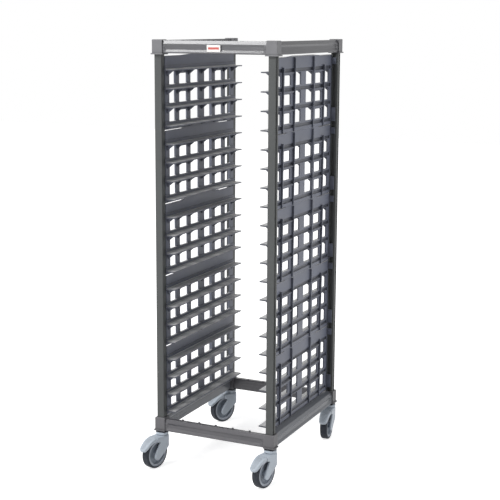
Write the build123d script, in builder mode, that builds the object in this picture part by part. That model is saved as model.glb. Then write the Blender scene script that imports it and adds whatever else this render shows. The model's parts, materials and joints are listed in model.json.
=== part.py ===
"""Sheet pan rack trolley: a tall composite frame with stacked ledge panels on four braked swivel casters.

Millimetres, +Z up, floor at Z = 0. The open loading end faces -Y. The origin is the middle of the whole
footprint, brake pedals included, so the frame itself stands a little off it.
"""
import os
from math import cos, radians, sin

from build123d import *

os.makedirs("parts", exist_ok=True)

# Frame
rack_width = 542.0
rack_depth = 692.0
frame_shift_x = 17.9
frame_shift_y = 52.1
base_height = 156.0

# Posts
post_width = 33.0
post_depth = 28.0
post_rounding = 3.0
post_seat = 13.0
post_top_cover = 17.0
side_groove_width = 9.0
side_groove_depth = 4.0
side_groove_start = 3.5
hook_groove_width = 12.6
hook_groove_depth = 9.0
hook_groove_start = 11.0
hook_rest_height = 6.0

# Rails and corner blocks
rail_height = 52.0
rail_thickness = 27.0
rail_stand_out = 2.0
rear_top_rail_height = 38.0
rail_edge_chamfer = 2.5
upper_bevel_height = 14.0
upper_bevel_depth = 6.0
recess_lip = 6.0
recess_depth = 5.0
recess_end_margin = 4.0
recess_wall_slant = 60.0
tenon_thickness = 15.0
tenon_length = 5.5
tenon_margin = 8.0
tenon_clearance = 0.2
nub_pitch = 78.5
nub_length = 8.0
nub_width = 5.0
nub_height = 4.0
seat_start = 22.0
seat_end = 36.0
seat_depth = 11.0
corner_wall = 6.5
top_corner_rise = 3.0
bottom_corner_rise = 6.0
corner_lip_height = 5.0
corner_lip_out = 4.0
corner_chamfer = 2.0
socket_clearance = 0.2

# Ledge panels: inward distances are from the posts' outer side faces
panels_per_side = 5
ledges_per_panel = 4
ledge_pitch = 76.2
rail_to_panel = 11.5
panel_to_rail = 13.5
panel_gap = 4.0
panel_end_clearance = 0.3
interlock_half_length = 110.0
interlock_ramp = 65.0
interlock_gap = 0.5
edge_slant = 3.0
sheet_start = 29.0
sheet_thickness = 6.0
first_ledge_rise = 19.5
ledge_thickness = 6.0
ledge_tip_thickness = 4.5
ledge_reach = 41.8
ledge_end_inset = 21.4
ledge_embed = 1.0
bar_thickness = 3.5
bar_above = 14.2
bar_below = 7.8
window_rounding = 4.0
channel_above = 8.0
channel_below = 5.5
channel_depth = 5.0
channel_end_margin = 12.0
cove_size = 3.0
gusset_reach = 28.0
gusset_drop = 22.0
lowest_gusset_drop = 9.5
gusset_thickness = 5.0
centre_slat_width = 54.0
inner_slat_start = 99.0
inner_slat_width = 32.0
outer_slat_start = 199.0
outer_slat_width = 32.6
outer_rib_inset = 19.0
end_strip_width = 34.0
rib_thickness = 5.0
rib_height = 9.0
rib_foot_height = 6.0
web_drop = 11.0
web_thickness = 5.0
web_height = 4.0
hook_plate_thickness = 4.0
hook_plate_start = 8.0
lower_hook_rise = 13.0
lower_hook_height = 60.0
upper_hook_drop = 11.0
upper_hook_height = 28.0
tongue_clearance = 0.3
tongue_margin = 5.0

# Label plate
label_width = 60.0
label_height = 27.0
label_thickness = 1.2
label_rise = 22.0
label_pad_margin = 1.5

# Casters: heights are above the floor, forward distances run along the trail from the swivel axis
caster_angles = {"front_left": 257.0, "front_right": 260.0, "rear_right": 277.0, "rear_left": 245.0}
wheel_radius = 63.5
tyre_width = 32.0
tyre_edge_round = 5.0
rim_radius = 51.0
rim_width = 28.0
rim_thickness = 6.0
hub_web_thickness = 9.0
hub_boss_radius = 13.0
hub_side_gap = 0.5
caster_trail = 48.0
axle_radius = 5.0
axle_end_cover = 3.0
running_clearance = 0.05
gasket_side = 40.0
gasket_thickness = 8.0
collar_radius = 26.5
collar_height = 12.0
collar_neck_radius = 23.0
collar_neck_height = 3.0
swivel_gap = 0.4
stem_radius = 7.0
stem_rise = 30.0
stem_head_radius = 9.0
stem_head_height = 6.4
stem_head_gap = 0.4
crown_thickness = 11.6
fork_half_width = 26.0
cheek_thickness = 7.0
wheel_well_gap = 2.5
neck_radius = 26.0
neck_rounding = 20.0
neck_bottom = 92.0
leg_end_forward = 53.0
leg_end_height = 56.0
leg_end_radius = 18.0
leg_rounding = 2.5
vee_forward = 38.0
vee_height = 112.0
hood_forward = 57.0
hood_edge_height = 118.0
shoulder_rounding = 7.0
pin_forward = 54.0
pin_height = 132.0
pin_radius = 2.0
knuckle_radius = 4.0
knuckle_root_radius = 2.6
knuckle_root_angle = 86.0
knuckle_half_width = 11.0
knuckle_side_gap = 0.5
knuckle_turn_gap = 0.8
pedal_travel = 10.0
brake_gap = 1.2
pedal_thickness = 6.0
pedal_arc_end = 54.0
pedal_under_end = 28.0
pedal_tip_length = 36.0
pedal_nose = 4.0
pedal_half_width = 25.5
pedal_tip_half_width = 17.0
pedal_tip_rounding = 9.0
pedal_shoulder_rounding = 5.0
pedal_skirt_thickness = 8.0
pedal_skirt_drop = 7.0

# Levels and places that follow from these
rail_top = base_height + rail_height
panel_module = ledges_per_panel * ledge_pitch
panel_height = panel_module - panel_gap
panels_bottom = rail_top + rail_to_panel
panels_top = panels_bottom + panels_per_side * panel_module - panel_gap
top_rail_bottom = panels_top + panel_to_rail
top_corner_bottom = top_rail_bottom - corner_lip_height
top_corner_top = top_rail_bottom + rail_height + top_corner_rise
bottom_corner_top = rail_top + bottom_corner_rise
post_bottom = base_height + post_seat
post_top = top_corner_top - post_top_cover
corner_width = post_width + 2 * corner_wall
corner_depth = post_depth + 2 * corner_wall
panel_half_length = rack_depth / 2 - post_depth - panel_end_clearance
ledge_half_length = rack_depth / 2 - ledge_end_inset
sheet_inner = sheet_start + sheet_thickness
sheet_top = panel_height + edge_slant
interlock_rise = panel_gap - interlock_gap
interlock_foot = interlock_half_length + interlock_ramp
tongue_width = hook_groove_width - 2 * tongue_clearance
collar_bottom = base_height - gasket_thickness - collar_height
fork_top = collar_bottom - swivel_gap
crown_floor = fork_top - crown_thickness
well_radius = wheel_radius + wheel_well_gap
well_half_width = fork_half_width - cheek_thickness
axle_half_length = fork_half_width - axle_end_cover

corners = {
    "front_left": (-1, -1),
    "front_right": (1, -1),
    "rear_right": (1, 1),
    "rear_left": (-1, 1),
}


def across(x_side, inward):
    """X of a place that lies inward of the posts' outer side faces."""
    return frame_shift_x + x_side * (rack_width / 2 - inward)


def lengthwise(y_side, inward):
    """Y of a place that lies inward of the posts' end faces."""
    return frame_shift_y + y_side * (rack_depth / 2 - inward)


def post_centre(x_side, y_side):
    return across(x_side, post_width / 2), lengthwise(y_side, post_depth / 2)


def panel_bottom(number):
    return panels_bottom + (number - 1) * panel_module


def save(piece, name):
    piece.label = name
    export_step(piece, f"parts/{name}.step")


def make_post(x_side, y_side):
    """Grooved bar with rests in one groove that the panels' lower hooks stand on."""
    x, y = post_centre(x_side, y_side)
    side_groove_y = lengthwise(y_side, side_groove_start + side_groove_width / 2)
    hook_groove_x = across(x_side, hook_groove_start + hook_groove_width / 2)
    hook_groove_y = lengthwise(y_side, post_depth - hook_groove_depth / 2)
    rest_levels = [
        panel_bottom(number) + lower_hook_rise + tongue_margin - hook_rest_height
        for number in range(1, panels_per_side + 1)
    ]
    with BuildPart() as post:
        with BuildSketch(Plane.XY.offset(post_bottom)) as section:
            with Locations((x, y)):
                Rectangle(post_width, post_depth)
            fillet(section.vertices(), post_rounding)
            with Locations((across(x_side, side_groove_depth / 2), side_groove_y)):
                Rectangle(side_groove_depth, side_groove_width, mode=Mode.SUBTRACT)
            with Locations((hook_groove_x, hook_groove_y)):
                Rectangle(hook_groove_width, hook_groove_depth, mode=Mode.SUBTRACT)
        extrude(amount=post_top - post_bottom)
        with BuildSketch(*[Plane.XY.offset(level) for level in rest_levels]):
            with Locations((hook_groove_x, hook_groove_y)):
                Rectangle(hook_groove_width, hook_groove_depth)
        extrude(amount=hook_rest_height)
        with BuildSketch(Plane.XY.offset(post_bottom)):
            with Locations((x, y)):
                Circle(stem_radius + running_clearance)
        extrude(amount=stem_rise, mode=Mode.SUBTRACT)
    return post.part


def tenon_height(height):
    return height - 2 * tenon_margin


def tenon_pockets(x_side, y_side, rails_bottom, end_rail_height):
    """Room for the tenons of the two rails that meet in a corner block."""
    x, y = post_centre(x_side, y_side)
    deep = tenon_length + tenon_clearance
    wide = tenon_thickness + 2 * tenon_clearance
    rail_x = across(x_side, rail_thickness / 2 - rail_stand_out)
    rail_y = lengthwise(y_side, rail_thickness / 2 - rail_stand_out)
    pocket_plane = Plane.XY.offset(rails_bottom + tenon_margin - tenon_clearance)
    with BuildPart() as pockets:
        with BuildSketch(pocket_plane):
            with Locations((x - x_side * (corner_width - deep) / 2, rail_y)):
                Rectangle(deep, wide)
        extrude(amount=tenon_height(end_rail_height) + 2 * tenon_clearance)
        with BuildSketch(pocket_plane):
            with Locations((rail_x, y - y_side * (corner_depth - deep) / 2)):
                Rectangle(wide, deep)
        extrude(amount=tenon_height(rail_height) + 2 * tenon_clearance)
    return pockets.part


def make_bottom_corner(x_side, y_side):
    """Block that holds a post, two rails and a caster stem, with a lip along its outer lower edges."""
    x, y = post_centre(x_side, y_side)
    with BuildPart() as corner:
        with BuildSketch(Plane.XY.offset(base_height)):
            with Locations((x, y)):
                Rectangle(corner_width, corner_depth)
        extrude(amount=bottom_corner_top - base_height)
        chamfer(corner.faces().sort_by(Axis.Z)[-1].edges(), corner_chamfer)
        with BuildSketch(Plane.XY.offset(base_height)):
            with Locations((x + x_side * corner_lip_out / 2, y + y_side * corner_lip_out / 2)):
                Rectangle(corner_width + corner_lip_out, corner_depth + corner_lip_out)
        extrude(amount=corner_lip_height)
        with BuildSketch(Plane.XY.offset(post_bottom)):
            with Locations((x, y)):
                Rectangle(post_width + 2 * socket_clearance, post_depth + 2 * socket_clearance)
        extrude(amount=bottom_corner_top - post_bottom, mode=Mode.SUBTRACT)
        with BuildSketch(Plane.XY.offset(base_height)):
            with Locations((x, y)):
                Circle(stem_radius + running_clearance)
        extrude(amount=post_seat, mode=Mode.SUBTRACT)
        add(tenon_pockets(x_side, y_side, base_height, rail_height), mode=Mode.SUBTRACT)
    return corner.part


def make_top_corner(x_side, y_side):
    """Cap block over a post's upper end, with a lip all round its lower edge."""
    x, y = post_centre(x_side, y_side)
    end_rail_height = rear_top_rail_height if y_side > 0 else rail_height
    with BuildPart() as corner:
        with BuildSketch(Plane.XY.offset(top_corner_bottom)):
            with Locations((x, y)):
                Rectangle(corner_width, corner_depth)
        extrude(amount=top_corner_top - top_corner_bottom)
        chamfer(corner.faces().sort_by(Axis.Z)[-1].edges(), corner_chamfer)
        with BuildSketch(Plane.XY.offset(top_corner_bottom)):
            with Locations((x, y)):
                Rectangle(corner_width + 2 * corner_lip_out, corner_depth + 2 * corner_lip_out)
        extrude(amount=corner_lip_height - tenon_clearance)
        with BuildSketch(Plane.XY.offset(top_corner_bottom)):
            with Locations((x, y)):
                Rectangle(post_width + 2 * socket_clearance, post_depth + 2 * socket_clearance)
        extrude(amount=post_top - top_corner_bottom, mode=Mode.SUBTRACT)
        add(tenon_pockets(x_side, y_side, top_rail_bottom, end_rail_height), mode=Mode.SUBTRACT)
    return corner.part


def make_rail(out_x, out_y, bottom, height, nubs=False, panel_seat=False, label_pad=False):
    """Plank between two corner blocks with a bevelled and recessed outer face and a tenon at each end.

    It can have nubs along its inner top edge, an upstand under the lowest panel and a pad for the label.
    """
    if out_x:
        length = rack_depth - 2 * (post_depth + corner_wall)
        middle = (across(out_x, -rail_stand_out), frame_shift_y, bottom + height / 2)
    else:
        length = rack_width - 2 * (post_width + corner_wall)
        middle = (frame_shift_x, lengthwise(out_y, -rail_stand_out), bottom + height / 2)
    face = Plane(origin=middle, x_dir=(-out_y, out_x, 0), z_dir=(out_x, out_y, 0))
    nub_count = 2 * int((length - nub_pitch) / 2 // nub_pitch) + 1
    with BuildPart() as rail:
        with BuildSketch(face):
            Rectangle(length, height)
        extrude(amount=-rail_thickness)
        long_edges = rail.edges().filter_by(Axis(middle, (-out_y, out_x, 0)))
        upper_outer_edge = long_edges.group_by(Axis.Z)[-1].sort_by(Axis(middle, (out_x, out_y, 0)))[-1]
        chamfer(long_edges - [upper_outer_edge], rail_edge_chamfer)
        section = Plane(origin=middle, x_dir=(out_x, out_y, 0), z_dir=(out_y, -out_x, 0))
        with BuildSketch(section):
            Polygon(
                (0, height / 2 - upper_bevel_height),
                (0, height / 2),
                (-upper_bevel_depth, height / 2),
            )
        extrude(amount=length / 2, both=True, mode=Mode.SUBTRACT)
        with BuildSketch(face):
            with Locations((0, (recess_lip - upper_bevel_height) / 2)):
                SlotOverall(length - 2 * recess_end_margin, height - recess_lip - upper_bevel_height)
        extrude(amount=-recess_depth, taper=recess_wall_slant, mode=Mode.SUBTRACT)
        with BuildSketch(face.offset(-(rail_thickness + tenon_thickness) / 2)):
            Rectangle(length + 2 * tenon_length, tenon_height(height))
        extrude(amount=tenon_thickness)
        if label_pad:
            with BuildSketch(face.offset(-label_thickness)):
                with Locations((0, label_rise - height / 2)):
                    Rectangle(label_width + 2 * label_pad_margin, label_height + 2 * label_pad_margin)
            extrude(amount=label_thickness - recess_depth)
        if nubs:
            with BuildSketch(face.offset(rail_edge_chamfer - rail_thickness)):
                with Locations((0, height / 2)):
                    with GridLocations(nub_pitch, nub_pitch, nub_count, 1):
                        Rectangle(nub_length, 2 * nub_height)
            extrude(amount=nub_width)
        if panel_seat:
            near = -rail_stand_out - seat_start
            far = -rail_stand_out - seat_end
            seat_top = height / 2 + rail_to_panel - panel_gap
            with BuildSketch(section):
                Polygon(
                    (-upper_bevel_depth, height / 2),
                    (near, seat_top),
                    (far, seat_top),
                    (far, seat_top - seat_depth),
                    (near, seat_top - seat_depth - seat_end + seat_start),
                )
            extrude(amount=length / 2, both=True)
    return rail.part


def make_label():
    """Blank plate on the top front rail's pad, flush with the rail's lip."""
    place = (frame_shift_x, lengthwise(-1, label_thickness - rail_stand_out), top_rail_bottom + label_rise)
    with BuildPart() as label:
        with BuildSketch(Plane(origin=place, x_dir=(1, 0, 0), z_dir=(0, -1, 0))):
            Rectangle(label_width, label_height)
        extrude(amount=label_thickness)
    return label.part


def make_panel():
    """Lattice wall with inward ledges on gussets, outward ribs and end hooks.

    It stands on Z = 0 on the right of the rack's middle. The left panels are the same moulding turned round.
    Its lower and upper edges slope down outwards, and the raised middle of the upper edge closes the joint
    with the panel above.
    """
    half_width = rack_width / 2
    levels = [first_ledge_rise + number * ledge_pitch for number in range(ledges_per_panel)]
    window_columns = [
        (centre_slat_width / 2, inner_slat_start, 0.0),
        (inner_slat_start + inner_slat_width, outer_slat_start, web_drop),
        (outer_slat_start + outer_slat_width, panel_half_length - end_strip_width, 0.0),
    ]
    slat_middles = [
        inner_slat_start + inner_slat_width / 2,
        outer_slat_start + outer_slat_width / 2,
        panel_half_length - end_strip_width / 2,
    ]
    gusset_places = [0.0] + slat_middles + [-middle for middle in slat_middles]
    inner_rib = inner_slat_start + rib_thickness / 2
    outer_rib = outer_slat_start + outer_rib_inset
    outer_x = half_width - sheet_start
    inner_x = half_width - sheet_inner
    root_x = inner_x + ledge_embed
    bar_x = inner_x - bar_thickness
    tip_x = half_width - post_width - ledge_reach
    wall = Plane(origin=(outer_x, 0, 0), x_dir=(0, 1, 0), z_dir=(1, 0, 0))

    def section(y, level=0.0):
        """Plane across the panel at a place along it, with X inward or outward and Z up."""
        return Plane(origin=(0, y, level), x_dir=(1, 0, 0), z_dir=(0, -1, 0))

    with BuildPart() as panel:
        with BuildSketch(wall):
            Polygon(
                (-panel_half_length, 0),
                (panel_half_length, 0),
                (panel_half_length, sheet_top),
                (interlock_foot, sheet_top),
                (interlock_half_length, sheet_top + interlock_rise),
                (-interlock_half_length, sheet_top + interlock_rise),
                (-interlock_foot, sheet_top),
                (-panel_half_length, sheet_top),
            )
            for near, far, lowered in window_columns:
                window_height = ledge_pitch - bar_above - bar_below - lowered
                window_rise = bar_above + window_height / 2
                rows = [level + window_rise for level in levels[:-1]]
                with Locations(*[(side * (near + far) / 2, row) for row in rows for side in (-1, 1)]):
                    RectangleRounded(far - near, window_height, window_rounding, mode=Mode.SUBTRACT)
        extrude(amount=-sheet_thickness)
        with BuildSketch(section(panel_half_length)):
            Polygon((outer_x, 0), (inner_x, 0), (inner_x, edge_slant))
        extrude(amount=2 * panel_half_length, mode=Mode.SUBTRACT)
        with BuildSketch(section(panel_half_length), section(-interlock_foot)):
            Polygon((outer_x, panel_height), (outer_x, sheet_top), (inner_x, sheet_top))
        extrude(amount=panel_half_length - interlock_foot, mode=Mode.SUBTRACT)
        with BuildSketch(section(interlock_foot, interlock_rise)):
            Polygon((outer_x, panel_height), (outer_x, sheet_top), (inner_x, sheet_top))
        extrude(amount=2 * interlock_foot, mode=Mode.SUBTRACT)
        with BuildSketch(wall):
            channel_middle = (channel_above - channel_below) / 2
            with Locations(*[(0, level + channel_middle) for level in levels]):
                Rectangle(2 * (panel_half_length - channel_end_margin), channel_above + channel_below)
        extrude(amount=-channel_depth, mode=Mode.SUBTRACT)
        with BuildSketch(*[section(ledge_half_length, level) for level in levels]):
            Polygon(
                (root_x, -bar_below),
                (bar_x, -bar_below),
                (bar_x, -ledge_thickness),
                (tip_x, -ledge_tip_thickness),
                (tip_x, 0),
                (bar_x - cove_size, 0),
                (bar_x, cove_size),
                (bar_x, bar_above),
                (root_x, bar_above),
            )
        extrude(amount=2 * ledge_half_length)
        for drop, drop_levels in ((lowest_gusset_drop, levels[:1]), (gusset_drop, levels[1:])):
            gusset_ends = [section(y + gusset_thickness / 2, z) for y in gusset_places for z in drop_levels]
            with BuildSketch(*gusset_ends):
                Polygon(
                    (root_x, -ledge_tip_thickness),
                    (root_x, -ledge_thickness - drop),
                    (inner_x, -ledge_thickness - drop),
                    (inner_x - gusset_reach, -ledge_thickness),
                    (inner_x - gusset_reach, -ledge_tip_thickness),
                )
            extrude(amount=gusset_thickness)
        for place, rib_top in ((inner_rib, panel_height), (outer_rib, levels[-1] + bar_above)):
            with BuildSketch(section(place + rib_thickness / 2), section(rib_thickness / 2 - place)):
                Polygon(
                    (inner_x, edge_slant),
                    (outer_x, 0),
                    (outer_x + rib_foot_height, 0),
                    (outer_x + rib_height, rib_top),
                    (inner_x, rib_top),
                )
            extrude(amount=rib_thickness)
        with BuildSketch(wall.offset(-ledge_embed)):
            web_rows = [level - bar_below - web_thickness / 2 for level in levels[1:]]
            web_middle = (inner_rib + outer_rib) / 2
            with Locations(*[(side * web_middle, row) for row in web_rows for side in (-1, 1)]):
                Rectangle(outer_rib - inner_rib, web_thickness)
        extrude(amount=web_height + ledge_embed)
        hooks = [
            (lower_hook_rise, lower_hook_height),
            (panel_height - upper_hook_drop - upper_hook_height, upper_hook_height),
        ]
        plate_width = sheet_inner - hook_plate_start
        tongue_start = hook_groove_start + tongue_clearance
        tongue_reach = hook_groove_depth - tongue_clearance
        for low, height in hooks:
            with BuildSketch(Plane.XY.offset(low)):
                for end in (-1, 1):
                    plate_y = end * (panel_half_length - hook_plate_thickness / 2)
                    with Locations((half_width - hook_plate_start - plate_width / 2, plate_y)):
                        Rectangle(plate_width, hook_plate_thickness)
            extrude(amount=height)
            with BuildSketch(Plane.XY.offset(low + tongue_margin)):
                for end in (-1, 1):
                    tongue_y = end * (panel_half_length + (tongue_reach - hook_plate_thickness) / 2)
                    with Locations((half_width - tongue_start - tongue_width / 2, tongue_y)):
                        Rectangle(tongue_width, tongue_reach + hook_plate_thickness)
            extrude(amount=height - 2 * tongue_margin)
    return panel.part


# Caster pieces stand at the origin with the swivel axis on Z and the wheel trailing along +X
side_view = Plane.XZ
axle_place = (caster_trail, wheel_radius)
pin_place = (pin_forward, pin_height)


def make_stem():
    """Headed pin that hangs the fork under its corner block."""
    head_top = crown_floor - stem_head_gap
    with BuildPart() as stem:
        with BuildSketch(Plane.XY.offset(head_top)):
            Circle(stem_radius)
        extrude(amount=post_bottom + stem_rise - head_top)
        with BuildSketch(Plane.XY.offset(head_top - stem_head_height)):
            Circle(stem_head_radius)
        extrude(amount=stem_head_height)
    return stem.part


def make_gasket():
    with BuildPart() as gasket:
        with BuildSketch(Plane.XY.offset(base_height - gasket_thickness)):
            Rectangle(gasket_side, gasket_side)
            Circle(stem_radius + running_clearance, mode=Mode.SUBTRACT)
        extrude(amount=gasket_thickness)
    return gasket.part


def make_collar():
    """Round swivel cap on a narrower neck, which leaves a shadow line above the fork."""
    with BuildPart() as collar:
        with BuildSketch(Plane.XY.offset(collar_bottom)):
            Circle(collar_neck_radius)
        extrude(amount=collar_neck_height)
        with BuildSketch(Plane.XY.offset(collar_bottom + collar_neck_height)):
            Circle(collar_radius)
        extrude(amount=collar_height - collar_neck_height)
        with BuildSketch(Plane.XY.offset(collar_bottom)):
            Circle(stem_radius + running_clearance)
        extrude(amount=collar_height, mode=Mode.SUBTRACT)
    return collar.part


def make_fork():
    """Round neck with two slanting legs and a hood over the wheel that carries the pedal's knuckles."""
    with BuildPart() as fork:
        with BuildSketch(side_view):
            with BuildLine():
                Line((-neck_radius, neck_bottom), (vee_forward, vee_height))
                CenterArc((leg_end_forward, leg_end_height), leg_end_radius, 0, 360)
            make_hull()
        extrude(amount=fork_half_width, both=True)
        with BuildSketch(side_view):
            Polygon(
                (-neck_radius, fork_top),
                (-neck_radius, neck_bottom),
                (vee_forward, vee_height),
                (hood_forward, hood_edge_height),
                (hood_forward, fork_top),
            )
        extrude(amount=fork_half_width, both=True)
        back_edges = fork.edges().filter_by(Axis.Z).group_by(Axis.X)[0]
        fillet(back_edges, neck_rounding)
        top_edges = fork.faces().sort_by(Axis.Z)[-1].edges()
        fillet(top_edges.sort_by(Axis.X)[:-1], shoulder_rounding)
        side_faces = fork.faces().filter_by(Axis.Y).sort_by(Axis.Y)
        side_edges = side_faces[0].edges() + side_faces[-1].edges()
        fillet(side_edges.filter_by(lambda edge: edge.center().Z < neck_bottom), leg_rounding)
        with BuildSketch(side_view):
            with Locations(pin_place):
                Circle(knuckle_radius)
        extrude(amount=fork_half_width - shoulder_rounding, both=True)
        with BuildSketch(side_view):
            with Locations(axle_place):
                Circle(well_radius)
        extrude(amount=well_half_width, both=True, mode=Mode.SUBTRACT)
        with BuildSketch(side_view):
            with Locations((pin_forward - knuckle_radius - knuckle_turn_gap, pin_height)):
                Rectangle(4 * knuckle_radius, 6 * knuckle_radius, align=(Align.MIN, Align.CENTER))
        extrude(amount=knuckle_half_width + knuckle_side_gap, both=True, mode=Mode.SUBTRACT)
        with BuildSketch(side_view):
            with Locations(pin_place):
                Circle(pin_radius + running_clearance)
        extrude(amount=axle_half_length, both=True, mode=Mode.SUBTRACT)
        with BuildSketch(side_view):
            with Locations(axle_place):
                Circle(axle_radius + running_clearance)
        extrude(amount=axle_half_length, both=True, mode=Mode.SUBTRACT)
        with BuildSketch(Plane.XY.offset(crown_floor)):
            Circle(stem_radius + running_clearance)
        extrude(amount=crown_thickness, mode=Mode.SUBTRACT)
        with BuildSketch(Plane.XY.offset(wheel_radius)):
            Circle(stem_head_radius + stem_head_gap)
        extrude(amount=crown_floor - wheel_radius, mode=Mode.SUBTRACT)
    return fork.part


def make_pin(place, radius):
    """Plain cross pin that ends inside the fork's cheeks."""
    with BuildPart() as pin:
        with BuildSketch(side_view):
            with Locations(place):
                Circle(radius)
        extrude(amount=axle_half_length, both=True)
    return pin.part


def make_hub():
    """Wheel centre: boss, web and rim."""
    with BuildPart() as hub:
        with BuildSketch(side_view):
            with Locations(axle_place):
                Circle(hub_boss_radius)
        extrude(amount=well_half_width - hub_side_gap, both=True)
        with BuildSketch(side_view):
            with Locations(axle_place):
                Circle(rim_radius)
        extrude(amount=hub_web_thickness / 2, both=True)
        with BuildSketch(side_view):
            with Locations(axle_place):
                Circle(rim_radius)
                Circle(rim_radius - rim_thickness, mode=Mode.SUBTRACT)
        extrude(amount=rim_width / 2, both=True)
        with BuildSketch(side_view):
            with Locations(axle_place):
                Circle(axle_radius + running_clearance)
        extrude(amount=fork_half_width, both=True, mode=Mode.SUBTRACT)
    return hub.part


def make_tyre():
    with BuildPart() as tyre:
        with BuildSketch(side_view):
            with Locations(axle_place):
                Circle(wheel_radius)
                Circle(rim_radius, mode=Mode.SUBTRACT)
        extrude(amount=tyre_width / 2, both=True)
        tread_edges = tyre.edges().filter_by(GeomType.CIRCLE).group_by(SortBy.RADIUS)[-1]
        fillet(tread_edges, tyre_edge_round)
    return tyre.part


def make_pedal():
    """Curved brake pedal with side skirts and a middle knuckle, tapering to a thick rounded tip.

    Its underside is the tyre's curve, turned up about the pin by the pedal's travel, so that it comes down
    evenly on the tread.
    """
    travel = radians(pedal_travel)
    dx = caster_trail - pin_forward
    dz = wheel_radius - pin_height
    centre_x = pin_forward + dx * cos(travel) - dz * sin(travel)
    centre_z = pin_height + dx * sin(travel) + dz * cos(travel)
    under = wheel_radius + brake_gap
    over = under + pedal_thickness

    def on_curve(radius, angle=pedal_arc_end, further=0.0):
        """Point at a radius and angle of the pedal's curve, or further along its straight tip."""
        turn = radians(angle)
        return (
            centre_x + radius * cos(turn) + further * sin(turn),
            centre_z + radius * sin(turn) - further * cos(turn),
        )

    nose = on_curve(under, further=pedal_tip_length + pedal_nose)
    with BuildPart() as pedal:
        with BuildSketch(side_view):
            with BuildLine():
                inner = CenterArc((centre_x, centre_z), under, pedal_under_end, 90 - pedal_under_end)
                outer = CenterArc((centre_x, centre_z), over, pedal_arc_end, 90 - pedal_arc_end)
                Line(inner @ 1, outer @ 1)
                upper_tip = Line(outer @ 0, on_curve(over, further=pedal_tip_length))
                ThreePointArc(inner @ 0, nose, upper_tip @ 1)
            make_face()
        extrude(amount=pedal_half_width, both=True)
        skirt_middle = pedal_half_width - pedal_skirt_thickness / 2
        with BuildSketch(side_view.offset(skirt_middle), side_view.offset(-skirt_middle)):
            Polygon(
                on_curve(under + pedal_thickness / 2, 90),
                on_curve(under - pedal_skirt_drop, 90),
                on_curve(under - pedal_skirt_drop, (90 + pedal_arc_end) / 2),
                on_curve(under - pedal_skirt_drop),
                on_curve(under, pedal_under_end),
                on_curve(under + pedal_thickness / 2, further=pedal_tip_length),
                on_curve(under + pedal_thickness / 2),
                on_curve(under + pedal_thickness / 2, (90 + pedal_arc_end) / 2),
            )
        extrude(amount=pedal_skirt_thickness / 2, both=True)
        with BuildSketch(Plane.XY) as plan:
            Polygon(
                (pin_forward, pedal_half_width),
                (pin_forward, -pedal_half_width),
                (nose[0] + pedal_nose, -pedal_tip_half_width),
                (nose[0] + pedal_nose, pedal_tip_half_width),
            )
            fillet(plan.vertices().group_by(Axis.X)[-1], pedal_tip_rounding)
        extrude(amount=2 * pin_height, mode=Mode.INTERSECT)
        top_faces = pedal.faces().filter_by(lambda face: face.normal_at().Z > face.normal_at().X > 0)
        fillet(top_faces.edges().filter_by(Axis.Y, reverse=True), pedal_shoulder_rounding)
        with BuildSketch(side_view):
            with Locations(pin_place):
                Circle(knuckle_radius)
            with Locations(on_curve((under + over) / 2, knuckle_root_angle)):
                Circle(knuckle_root_radius)
            make_hull()
        extrude(amount=knuckle_half_width, both=True)
        with BuildSketch(side_view):
            with Locations(pin_place):
                Circle(pin_radius + running_clearance)
        extrude(amount=fork_half_width, both=True, mode=Mode.SUBTRACT)
    return pedal.part


# Posts and corner blocks
for corner_name, (x_side, y_side) in corners.items():
    save(make_post(x_side, y_side), f"{corner_name}_post")
    save(make_bottom_corner(x_side, y_side), f"{corner_name}_bottom_corner")
    save(make_top_corner(x_side, y_side), f"{corner_name}_top_corner")

# Rails
rail_sides = {"front": (0, -1), "rear": (0, 1), "left": (-1, 0), "right": (1, 0)}
for rail_name, (out_x, out_y) in rail_sides.items():
    top_height = rear_top_rail_height if rail_name == "rear" else rail_height
    bottom_rail = make_rail(out_x, out_y, base_height, rail_height, nubs=bool(out_y), panel_seat=bool(out_x))
    top_rail = make_rail(out_x, out_y, top_rail_bottom, top_height, label_pad=rail_name == "front")
    save(bottom_rail, f"bottom_{rail_name}_rail")
    save(top_rail, f"top_{rail_name}_rail")
save(make_label(), "label_plate")

# Ledge panels, numbered from the bottom
panel_moulding = make_panel()
for wall_name, turn in (("right", 0), ("left", 180)):
    for panel_number in range(1, panels_per_side + 1):
        spot = Location((frame_shift_x, frame_shift_y, panel_bottom(panel_number)), (0, 0, turn))
        save(panel_moulding.moved(spot), f"{wall_name}_panel_{panel_number}")

# Casters
caster_seats = {"caster_stems": make_stem(), "caster_gaskets": make_gasket(), "caster_collars": make_collar()}
for group_name, piece in caster_seats.items():
    with BuildPart() as group:
        with Locations(*[(*post_centre(*sides), 0) for sides in corners.values()]):
            add(piece)
    save(group.part, group_name)
caster_pieces = {
    "fork": make_fork(),
    "axle": make_pin(axle_place, axle_radius),
    "wheel_hub": make_hub(),
    "tyre": make_tyre(),
    "brake_pedal": make_pedal(),
    "pedal_pin": make_pin(pin_place, pin_radius),
}
for corner_name, sides in corners.items():
    spot = Location((*post_centre(*sides), 0), (0, 0, caster_angles[corner_name]))
    for piece_name, piece in caster_pieces.items():
        save(piece.moved(spot), f"{corner_name}_{piece_name}")
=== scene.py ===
"""Looks, light and camera for the sheet pan rack trolley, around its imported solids."""
import json
from math import cos, radians, sin

import bmesh
import bpy
from mathutils import Matrix, Vector


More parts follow.
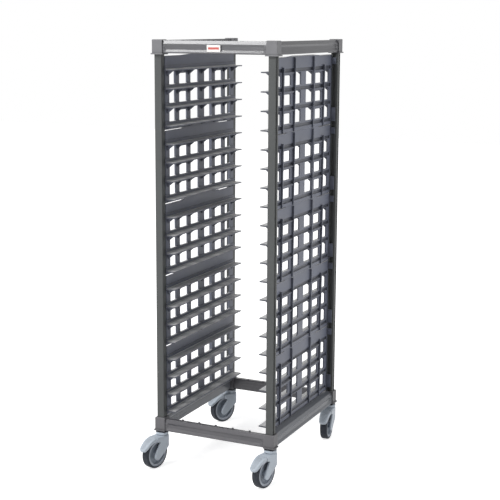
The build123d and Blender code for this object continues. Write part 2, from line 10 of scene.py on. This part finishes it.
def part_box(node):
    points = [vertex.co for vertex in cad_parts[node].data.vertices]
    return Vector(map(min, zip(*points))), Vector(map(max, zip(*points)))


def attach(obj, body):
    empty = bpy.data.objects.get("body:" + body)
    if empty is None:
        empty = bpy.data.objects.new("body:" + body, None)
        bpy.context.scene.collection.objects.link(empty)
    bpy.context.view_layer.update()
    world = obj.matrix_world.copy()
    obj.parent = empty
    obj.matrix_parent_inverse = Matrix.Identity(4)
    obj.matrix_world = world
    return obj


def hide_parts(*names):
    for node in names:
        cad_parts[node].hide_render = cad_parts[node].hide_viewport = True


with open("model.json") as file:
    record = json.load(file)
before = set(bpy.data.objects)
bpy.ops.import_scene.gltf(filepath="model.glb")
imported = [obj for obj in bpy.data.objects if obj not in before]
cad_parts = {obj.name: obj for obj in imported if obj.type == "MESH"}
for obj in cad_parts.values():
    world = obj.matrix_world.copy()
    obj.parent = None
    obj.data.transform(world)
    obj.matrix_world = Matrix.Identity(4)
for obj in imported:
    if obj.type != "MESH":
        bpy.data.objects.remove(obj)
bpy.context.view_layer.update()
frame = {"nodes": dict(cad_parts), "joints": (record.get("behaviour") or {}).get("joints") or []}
nodes = frame["nodes"]
joints = {joint["name"]: joint for joint in frame["joints"]}
scene = bpy.context.scene
corners = ("front_left", "front_right", "rear_right", "rear_left")
upwards = Vector((0, 0, 1))

# Textures: scales of the noise and the middle of its range, reaches in metres, and tones as factors
cloud_scale = 7.0
streak_scale = 26.0
scuff_scale = 160.0
fleck_scale = 420.0
grain_scale = 900.0
noise_middle = (0.3, 0.7)
grain_depth = 0.0004
edge_radius = 0.0016
small_edge_radius = 0.0012
# Painted shade: reaches of the occlusion masks that darken corners and recesses with the most each darkens,
# and the tone of painted shade, also used at the ledge panels' ends and channels
shade_reaches = ((0.03, 0.45), (0.007, 0.6))
shade_tone = 0.3
fleck_tone = 1.35

# Ledge panels: the channels behind the ledges lie inwards from the outermost faces of the hooks
hook_to_channel = 0.026
# Where the painted shade fades in the channels and at the panels' ends
channel_fade_start, channel_fade_end = 0.001, 0.004
end_fade_start, end_fade_end = 0.008, 0.003

# Label plate
stripe_half_width = 0.024
stripe_half_height = 0.0045

# Brake pedals: the upper face is round about the raised wheel up to its bend, and straight past it
pedal_bend = radians(54)
pedal_crest = 0.0707
pedal_half_width = 0.0185
pedal_taper = 0.11
taper_start = 0.054
tongue_end = 0.040
tongue_radius = 0.0185
tongue_rounding = 0.007
tongue_turns = range(-80, 81, 16)
tongue_lifts = range(0, 81, 20)
merge_distance = 0.00001
shortest_edge = 0.00005
sharp_edge = radians(35)

# Grip dots on the brake pedals
dot_pitch = 0.0055
dot_radius = 0.0017
dot_flatness = 0.6
dot_rows = range(-5, 7)
dot_columns = range(-4, 5)

# Camera
camera_place = (2.1777, -4.54, 1.872)
camera_turn = radians(25.185)
camera_tilt = radians(9.953)
camera_roll = radians(-0.303)
camera_lens = 85.65
camera_sensor = 36.0
camera_shift = -0.035
camera_reach = 100.0

# Floor and surroundings
floor_half_size = 14.0
floor_grey = (0.86, 0.86, 0.86, 1.0)
white = (1.0, 1.0, 1.0, 1.0)
soft_strength = 0.28
white_strength = 1.0


def screen(red, green, blue):
    """Colour as a material takes it, from the values of 0 to 255 that a screen shows."""
    parts = [value / 255 for value in (red, green, blue)]
    return [part / 12.92 if part <= 0.04045 else ((part + 0.055) / 1.055) ** 2.4 for part in parts] + [1.0]


def shade(colour, factor):
    return [min(1.0, part * factor) for part in colour[:3]] + [1.0]


class Finish:
    """A material under construction, with short ways to add its nodes."""

    def __init__(self, name, roughness, specular=0.5):
        self.material = bpy.data.materials.new(name)
        self.material.use_nodes = True
        self.tree = self.material.node_tree
        self.shader = self.tree.nodes["Principled BSDF"]
        self.shader.inputs["Roughness"].default_value = roughness
        self.shader.inputs["Specular IOR Level"].default_value = specular

    def feed(self, socket, value):
        if isinstance(value, bpy.types.NodeSocket):
            self.tree.links.new(value, socket)
        else:
            socket.default_value = value

    def node(self, kind, **inputs):
        made = self.tree.nodes.new("ShaderNode" + kind)
        for name, value in inputs.items():
            self.feed(made.inputs[name.replace("_", " ")], value)
        return made

    def colour(self, value):
        self.feed(self.shader.inputs["Base Color"], value)

    def roughness(self, value):
        self.feed(self.shader.inputs["Roughness"], value)

    def place(self, stretch=(1, 1, 1), at=(0, 0, 0)):
        """Object coordinates from a middle point, stretched along each axis."""
        where = self.node("TexCoord").outputs["Object"]
        moved = self.node("Mapping", Vector=where, Location=at, Scale=stretch)
        moved.vector_type = "TEXTURE"
        return moved.outputs["Vector"]

    def noise(self, scale, detail=3.0, stretch=(1, 1, 1)):
        return self.node("TexNoise", Vector=self.place(stretch), Scale=scale, Detail=detail).outputs["Fac"]

    def math(self, operation, first, second=0.0, clamp=False):
        made = self.node("Math")
        made.operation = operation
        made.use_clamp = clamp
        self.feed(made.inputs[0], first)
        self.feed(made.inputs[1], second)
        return made.outputs[0]

    def vector(self, operation, first, second=None):
        made = self.node("VectorMath")
        made.operation = operation
        self.feed(made.inputs[0], first)
        if second is not None:
            self.feed(made.inputs[1], second)
        return made

    def part_of(self, vector, axis):
        return self.node("SeparateXYZ", Vector=vector).outputs[axis]

    def facing(self, axis):
        """How far a face points along an axis, from -1 to 1."""
        return self.part_of(self.node("NewGeometry").outputs["Normal"], axis)

    def spread(self, value, span, onto=(0.0, 1.0)):
        """Carries a value from one range onto another, held at both ends."""
        (low, high), (to_low, to_high) = span, onto
        made = self.node("MapRange", Value=value, From_Min=low, From_Max=high, To_Min=to_low, To_Max=to_high)
        return made.outputs[0]

    def mix(self, share, first, second):
        made = self.node("Mix")
        made.data_type = "RGBA"
        self.feed(made.inputs[0], share)
        self.feed(made.inputs[6], first)
        self.feed(made.inputs[7], second)
        return made.outputs[2]

    def soft_edges(self, radius):
        """The normal over softened edges."""
        rounded = self.node("Bevel", Radius=radius)
        rounded.samples = 6
        return rounded.outputs["Normal"]

    def edges(self, softened):
        """Share that is 0 on flats and rises on the edges that a normal softens."""
        flat = self.node("NewGeometry").outputs["Normal"]
        alike = self.vector("DOT_PRODUCT", softened, flat).outputs["Value"]
        return self.math("SUBTRACT", 1.0, alike, clamp=True)

    def corners_of(self, reach):
        """Share that is 1 in the open and falls towards 0 deep in a piece's own corners and recesses."""
        hollow = self.node("AmbientOcclusion", Distance=reach)
        hollow.only_local = True
        hollow.samples = 8
        return hollow.outputs["AO"]

    def relief(self, height, strength, normal):
        bump = self.node("Bump", Height=height, Strength=strength, Distance=grain_depth, Normal=normal)
        self.feed(self.shader.inputs["Normal"], bump.outputs["Normal"])


def ledge_light_and_shade(made, body, colour, lit_scuffed_tops):
    """Ledge panel's tone: painted light on its upward faces, patchy like scuffs, and painted shade at both
    ends and in the channels.
    """
    low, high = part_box("left_panel_1")
    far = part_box("right_panel_1")[1]
    middle = made.place(at=((low[0] + far[0]) / 2, (low[1] + high[1]) / 2, 0.0))
    channel_floor = (far[0] - low[0]) / 2 - hook_to_channel
    panel_end = (high[1] - low[1]) / 2
    # Colour of the painted shade at the panels' ends and in the channels
    dark = shade(colour, shade_tone)

    # Painted light on upward faces, patchy like scuffs
    scuffs = made.spread(made.noise(scuff_scale, 3.0, (1, 30, 1)), (0.3, 0.6), (0.6, 1.0))
    top_facing = made.spread(made.facing("Z"), (0.25, 0.8))
    body = made.mix(made.math("MULTIPLY", top_facing, scuffs), body, lit_scuffed_tops)

    # Painted shade over the last millimetres at both ends of each panel
    along = made.math("ABSOLUTE", made.part_of(middle, "Y"))
    end_shade = made.spread(along, (panel_end - end_fade_start, panel_end - end_fade_end), (0.0, 0.8))
    body = made.mix(end_shade, body, dark)

    # Painted shade on the outward faces deep in the channels behind the ledges
    sideways = made.part_of(middle, "X")
    outward = made.math("MULTIPLY", made.math("SIGN", sideways), made.facing("X"))
    fade = (channel_floor + channel_fade_start, channel_floor + channel_fade_end)
    deep = made.spread(made.math("ABSOLUTE", sideways), fade, (0.75, 0.0))
    channel_shade = made.math("MULTIPLY", deep, made.spread(outward, (0.1, 0.5)))
    return made.mix(channel_shade, body, dark)


def moulding(
    name, colour, roughness, streak,
    specular=0.45, mottle=0.12, grain=0.12, edge_scuff_and_shade=0.45, shade_strength=1.0, lit_scuffed_tops=None,
):
    """Moulded or drawn composite: cloudy tone, long faint streaks, painted shade in its corners and recesses,
    and lighter scuffed edges, or painted shade on the edges where their tone is negative.

    A near-white colour of painted light on upward faces, patchy like scuffs, is given for the ledge panels
    alone.
    """
    made = Finish(name, roughness, specular)
    clouds = made.noise(cloud_scale, 4.0)
    streaks = made.noise(streak_scale, 3.0, streak)
    tone = made.math("MULTIPLY", made.math("ADD", clouds, streaks), 0.5)
    body = made.mix(made.spread(tone, noise_middle), shade(colour, 1 - mottle), shade(colour, 1 + mottle))
    flecks = made.spread(made.noise(fleck_scale, 2.0), (0.62, 0.75), (0.0, 0.35))
    body = made.mix(flecks, body, shade(colour, fleck_tone))
    if lit_scuffed_tops:
        body = ledge_light_and_shade(made, body, colour, lit_scuffed_tops)
    # Painted shade, darker deep in corners and recesses
    for reach, most in shade_reaches:
        corner_shade = made.spread(made.corners_of(reach), (0.35, 0.95), (most * shade_strength, 0.0))
        body = made.mix(corner_shade, body, shade(colour, shade_tone))
    softened = made.soft_edges(edge_radius)
    # Edges lighter as scuffs; a negative edge tone paints shade on them instead
    edge_scuff_light_and_shade = made.math("MULTIPLY", made.edges(softened), 2.5, clamp=True)
    made.colour(made.mix(edge_scuff_light_and_shade, body, shade(colour, 1 + edge_scuff_and_shade)))
    made.roughness(made.spread(streaks, noise_middle, (roughness - 0.06, roughness + 0.06)))
    made.relief(made.noise(grain_scale, 2.0), grain, softened)
    return made.material


def wheel_rings(name, corner, rings, roughness, specular, dusty):
    """Wheel finish in rings about the axle, each with its radius and colour, dusty and finely pitted."""
    made = Finish(name, roughness, specular)
    axle = joints[f"{corner}_roll"]
    offset = made.place(at=axle["pos_m"])
    radius = made.vector("LENGTH", made.vector("CROSS_PRODUCT", offset, axle["axis"]).outputs["Vector"])
    reach = 0.07
    ramp = made.node("ValToRGB", Fac=made.math("DIVIDE", radius.outputs["Value"], reach))
    steps = ramp.color_ramp.elements
    while len(steps) < len(rings):
        steps.new(0.5)
    for step, (distance, colour) in zip(steps, rings):
        step.position = distance / reach
        step.color = colour
    dust = made.spread(made.noise(60.0, 4.0), (0.45, 0.75), (0.0, dusty))
    body = made.mix(dust, ramp.outputs["Color"], screen(150, 150, 148))
    softened = made.soft_edges(small_edge_radius)
    # Edges lighter: scuffs and painted highlight
    edge_scuff_light_and_shade = made.math("MULTIPLY", made.edges(softened), 0.6, clamp=True)
    made.colour(made.mix(edge_scuff_light_and_shade, body, screen(150, 154, 160)))
    made.roughness(made.spread(dust, (0.0, dusty), (roughness, roughness + 0.2)))
    made.relief(made.noise(700.0, 2.0), 0.15, softened)
    return made.material


def label_enamel():
    """Blank white plate with a plain red stripe along its middle."""
    made = Finish("label_enamel", 0.35)
    low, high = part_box("label_plate")
    middle = made.place(at=(low + high) / 2)
    in_height = made.math("LESS_THAN", made.math("ABSOLUTE", made.part_of(middle, "Z")), stripe_half_height)
    in_width = made.math("LESS_THAN", made.math("ABSOLUTE", made.part_of(middle, "X")), stripe_half_width)
    stripe = made.math("MULTIPLY", in_height, in_width)
    plate = made.mix(made.noise(120.0), screen(226, 224, 222), screen(242, 240, 238))
    made.colour(made.mix(stripe, plate, screen(196, 92, 84)))
    made.roughness(made.spread(made.noise(40.0), noise_middle, (0.28, 0.42)))
    return made.material


def pin_steel():
    made = Finish("pin_steel", 0.35)
    made.shader.inputs["Metallic"].default_value = 1.0
    turned = made.noise(300.0)
    made.colour(made.mix(turned, screen(150, 150, 150), screen(185, 185, 185)))
    made.roughness(made.spread(turned, noise_middle, (0.28, 0.45)))
    return made.material


def gasket_rubber():
    made = Finish("gasket_rubber", 0.6, 0.3)
    made.colour(made.mix(made.noise(90.0), screen(22, 24, 30), screen(38, 40, 46)))
    made.relief(made.noise(600.0), 0.2, made.soft_edges(small_edge_radius))
    return made.material


def rail_finishes():
    """Composite of each rail, streaked along it. The rear and left rails are as the front and right ones."""
    across, along = (24, 1, 1), (1, 24, 1)
    # One composite throughout: the darker top side rails are painted shade and the lighter bottom side rails
    # painted light
    rails = {
        "top_front": moulding(
            "top_end_rail", screen(88, 88, 92), 0.27, across, specular=0.65, edge_scuff_and_shade=1.4, shade_strength=0.6,
        ),
        "bottom_front": moulding(
            "bottom_end_rail", screen(90, 89, 93), 0.3, across, specular=0.45, shade_strength=0.3,
        ),
        "top_right": moulding(
            "shaded_top_side_rail", screen(82, 82, 86), 0.32, along, specular=0.35, edge_scuff_and_shade=0.9, shade_strength=0.3,
        ),
        "bottom_right": moulding(
            "lit_bottom_side_rail", screen(102, 105, 111), 0.3, along, specular=0.4, shade_strength=0.3,
        ),
    }
    for level in ("top", "bottom"):
        rails[f"{level}_rear"] = rails[f"{level}_front"]
        rails[f"{level}_left"] = rails[f"{level}_right"]
    return {f"{place}_rail": finish for place, finish in rails.items()}


even = (2, 2, 2)
post_composite = moulding("post_composite", screen(80, 82, 82), 0.5, (1, 1, 24), specular=0.25, shade_strength=0.5)
# One moulding for all corner blocks: the lighter top blocks are painted light and the darker bottom blocks
# painted shade
block_lit = moulding("corner_block_lit", screen(112, 112, 115), 0.45, even, specular=0.4, grain=0.3)
block_shaded = moulding("corner_block_shaded", screen(98, 97, 100), 0.45, even, specular=0.4, grain=0.3)
# Ledge panels: the negative edge tone paints shade on their edges, and the near-white colour is painted light
# on their upward faces
panel_grey = moulding(
    "panel_moulding_grey", screen(98, 102, 116), 0.45, (1, 6, 1),
    mottle=0.2, edge_scuff_and_shade=-0.3, lit_scuffed_tops=screen(210, 210, 209),
)
caster_nylon = moulding("caster_nylon", screen(184, 193, 203), 0.42, even, mottle=0.05, edge_scuff_and_shade=0.2)
# Pedal nylon darkened on the grip dots: painted shade between the raised dots
dot_shaded_nylon = moulding("dot_shaded_nylon", screen(150, 157, 165), 0.42, even, mottle=0.05, edge_scuff_and_shade=0.2)
steel = pin_steel()

hub_rings = [
    (0.0, screen(158, 166, 176)),
    (0.013, screen(140, 149, 161)),
    (0.043, screen(132, 141, 153)),
    (0.046, screen(172, 178, 188)),
]
tyre_rings = [
    (0.050, screen(178, 184, 194)),
    (0.053, screen(172, 178, 188)),
    (0.0545, screen(52, 56, 64)),
    (0.0635, screen(46, 50, 58)),
]

finishes = rail_finishes()
finishes["label_plate"] = label_enamel()
finishes["caster_stems"] = steel
finishes["caster_gaskets"] = gasket_rubber()
finishes["caster_collars"] = caster_nylon
for corner in corners:
    finishes[f"{corner}_post"] = post_composite
    finishes[f"{corner}_bottom_corner"] = block_shaded
    finishes[f"{corner}_top_corner"] = block_lit
    finishes[f"{corner}_fork"] = caster_nylon
    finishes[f"{corner}_brake_pedal"] = caster_nylon
    finishes[f"{corner}_axle"] = steel
    finishes[f"{corner}_pedal_pin"] = steel
    finishes[f"{corner}_wheel_hub"] = wheel_rings(
        f"hub_nylon_{corner}", corner, hub_rings, roughness=0.4, specular=0.45, dusty=0.2,
    )
    finishes[f"{corner}_tyre"] = wheel_rings(
        f"tyre_tread_{corner}", corner, tyre_rings, roughness=0.6, specular=0.2, dusty=0.1,
    )
for name, node in nodes.items():
    node.data.materials.clear()
    node.data.materials.append(panel_grey if "_panel_" in name else finishes[name])


def on_pedal(corner, distance):
    """Place on a pedal's upper face, a distance past its bend, and its directions across, along and out."""
    pin, axle = joints[f"{corner}_brake"], joints[f"{corner}_roll"]
    side = Vector(pin["axis"])
    forward = side.cross(upwards)
    raised = Matrix.Rotation(-radians(pin["range_deg"][1]), 3, side)
    centre = Vector(pin["pos_m"]) + raised @ (Vector(axle["pos_m"]) - Vector(pin["pos_m"]))
    angle = pedal_bend - min(distance, 0.0) / pedal_crest
    out = forward * cos(angle) + upwards * sin(angle)
    along = forward * sin(angle) - upwards * cos(angle)
    return centre + out * pedal_crest + along * max(distance, 0.0), side, along, out


def add_to_pedal(shape, name, corner, finish):
    mesh = bpy.data.meshes.new(name)
    shape.to_mesh(mesh)
    shape.free()
    mesh.materials.append(finish)
    piece = bpy.data.objects.new(name, mesh)
    scene.collection.objects.link(piece)
    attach(piece, f"{corner}_pedal")
    return piece


def tongue_pedal(corner):
    """Brake pedal with its tip trimmed to a tongue, half round from above and soft along its upper edge."""
    foot, side, along, out = on_pedal(corner, tongue_end - tongue_radius)
    centre = foot - out * tongue_rounding
    shape = bmesh.new()
    shape.from_mesh(nodes[f"{corner}_brake_pedal"].data)
    bmesh.ops.remove_doubles(shape, verts=shape.verts, dist=merge_distance)
    for turn in tongue_turns:
        outward = along * cos(radians(turn)) + side * sin(radians(turn))
        for lift in tongue_lifts:
            facing = outward * cos(radians(lift)) + out * sin(radians(lift))
            touch = centre + outward * (tongue_radius - tongue_rounding) + facing * tongue_rounding
            cut = bmesh.ops.bisect_plane(
                shape,
                geom=shape.verts[:] + shape.edges[:] + shape.faces[:],
                plane_co=touch,
                plane_no=facing,
                clear_outer=True,
            )
            rim = [part for part in cut["geom_cut"] if isinstance(part, bmesh.types.BMEdge)]
            bmesh.ops.holes_fill(shape, edges=rim)
    bmesh.ops.dissolve_degenerate(shape, edges=shape.edges, dist=shortest_edge)
    bmesh.ops.triangulate(shape, faces=shape.faces)
    for face in shape.faces:
        face.smooth = True
    piece = add_to_pedal(shape, f"{corner}_tongue_pedal", corner, caster_nylon)
    piece.data.set_sharp_from_angle(angle=sharp_edge)
    piece.modifiers.new("even_shading", "WEIGHTED_NORMAL").keep_sharp = True
    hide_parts(f"{corner}_brake_pedal")


def grip_dots(corner):
    """Low domes in staggered rows over the lower half of a brake pedal, where the foot presses."""
    stem = Vector(joints[f"{corner}_swivel"]["pos_m"])
    tongue_flat = tongue_radius - tongue_rounding
    shape = bmesh.new()
    for row in dot_rows:
        foot, side, along, out = on_pedal(corner, row * dot_pitch)
        ahead = (foot - stem).dot(side.cross(upwards))
        half_width = pedal_half_width - pedal_taper * (ahead - taper_start) - dot_radius
        past = max(0.0, row * dot_pitch - (tongue_end - tongue_radius))
        half_round = max(0.0, tongue_flat ** 2 - past ** 2) ** 0.5 + dot_radius
        stagger = dot_pitch / 2 if row % 2 else 0.0
        turned = Matrix((along, side, out)).transposed().to_4x4()
        for column in dot_columns:
            across = column * dot_pitch + stagger
            if abs(across) > min(half_width, half_round):
                continue
            put = Matrix.Translation(foot + side * across) @ turned @ Matrix.Diagonal((1, 1, dot_flatness, 1))
            bmesh.ops.create_uvsphere(shape, u_segments=8, v_segments=4, radius=dot_radius, matrix=put)
    add_to_pedal(shape, f"{corner}_grip_dots", corner, dot_shaded_nylon)


def seen_directly(tree):
    """Share that is 1 for what the camera sees, straight or mirrored, and 0 for light on the object."""
    ray = tree.nodes.new("ShaderNodeLightPath")
    seen = ray.outputs["Is Camera Ray"]
    for other in ("Is Glossy Ray", "Is Transmission Ray"):
        either = tree.nodes.new("ShaderNodeMath")
        either.operation = "MAXIMUM"
        tree.links.new(seen, either.inputs[0])
        tree.links.new(ray.outputs[other], either.inputs[1])
        seen = either.outputs[0]
    return seen


def set_world():
    """Soft white light on the object, in front of a background that is seen as plain white."""
    world = bpy.data.worlds.new("studio")
    scene.world = world
    world.use_nodes = True
    tree = world.node_tree
    soft = tree.nodes["Background"]
    plain = tree.nodes.new("ShaderNodeBackground")
    for shell, strength in ((soft, soft_strength), (plain, white_strength)):
        shell.inputs["Color"].default_value = white
        shell.inputs["Strength"].default_value = strength
    both = tree.nodes.new("ShaderNodeMixShader")
    tree.links.new(seen_directly(tree), both.inputs[0])
    tree.links.new(soft.outputs[0], both.inputs[1])
    tree.links.new(plain.outputs[0], both.inputs[2])
    tree.links.new(both.outputs[0], tree.nodes["World Output"].inputs["Surface"])


def lay_floor():
    """White floor that keeps the shadow under the trolley and runs into the white background."""
    mesh = bpy.data.meshes.new("studio_floor")
    shape = bmesh.new()
    bmesh.ops.create_grid(shape, x_segments=1, y_segments=1, size=floor_half_size)
    shape.to_mesh(mesh)
    shape.free()
    floor = bpy.data.objects.new("studio_floor", mesh)
    scene.collection.objects.link(floor)
    made = Finish("floor_paint", 0.9, 0.1)
    made.colour(floor_grey)
    made.feed(made.shader.inputs["Emission Color"], white)
    distance = made.vector("LENGTH", made.place()).outputs["Value"]
    glow = made.spread(distance, (0.6, 2.5), (0.7, 1.0))
    made.feed(made.shader.inputs["Emission Strength"], made.math("MULTIPLY", seen_directly(made.tree), glow))
    mesh.materials.append(made.material)


def hang_light(name, place, aim, size, power):
    lamp = bpy.data.lights.new(name, "AREA")
    lamp.shape = "RECTANGLE"
    lamp.size, lamp.size_y = size
    lamp.energy = power
    held = bpy.data.objects.new(name, lamp)
    held.location = place
    held.rotation_euler = (Vector(aim) - Vector(place)).to_track_quat("-Z", "Y").to_euler()
    scene.collection.objects.link(held)


def set_camera():
    """Camera as the photograph was taken: to the right of the open end, a little above the rack's top."""
    ahead = Vector((-sin(camera_turn), cos(camera_turn), 0))
    level = Vector((cos(camera_turn), sin(camera_turn), 0))
    look = ahead * cos(camera_tilt) - upwards * sin(camera_tilt)
    right = level * cos(camera_roll) + look.cross(level) * sin(camera_roll)
    place = Matrix((right, right.cross(look), -look)).transposed().to_4x4()
    place.translation = camera_place
    data = bpy.data.cameras.new("photo_camera")
    data.sensor_width = camera_sensor
    data.lens = camera_lens
    data.shift_y = camera_shift
    data.clip_end = camera_reach
    camera = bpy.data.objects.new("photo_camera", data)
    camera.matrix_world = place
    scene.collection.objects.link(camera)
    scene.camera = camera


for corner in corners:
    tongue_pedal(corner)
    grip_dots(corner)
scene.view_settings.view_transform = "Standard"
set_world()
lay_floor()
hang_light("key_light", place=(-1.84, -2.87, 4.26), aim=(0, -0.2, 1.4), size=(2.4, 1.8), power=160)
hang_light("front_light", place=(-0.4, -4.2, 1.6), aim=(0, 0, 0.95), size=(2.0, 2.0), power=42)
hang_light("side_light", place=(3.4, 0.9, 1.8), aim=(0.27, 0, 0.9), size=(2.0, 2.0), power=38)
set_camera()
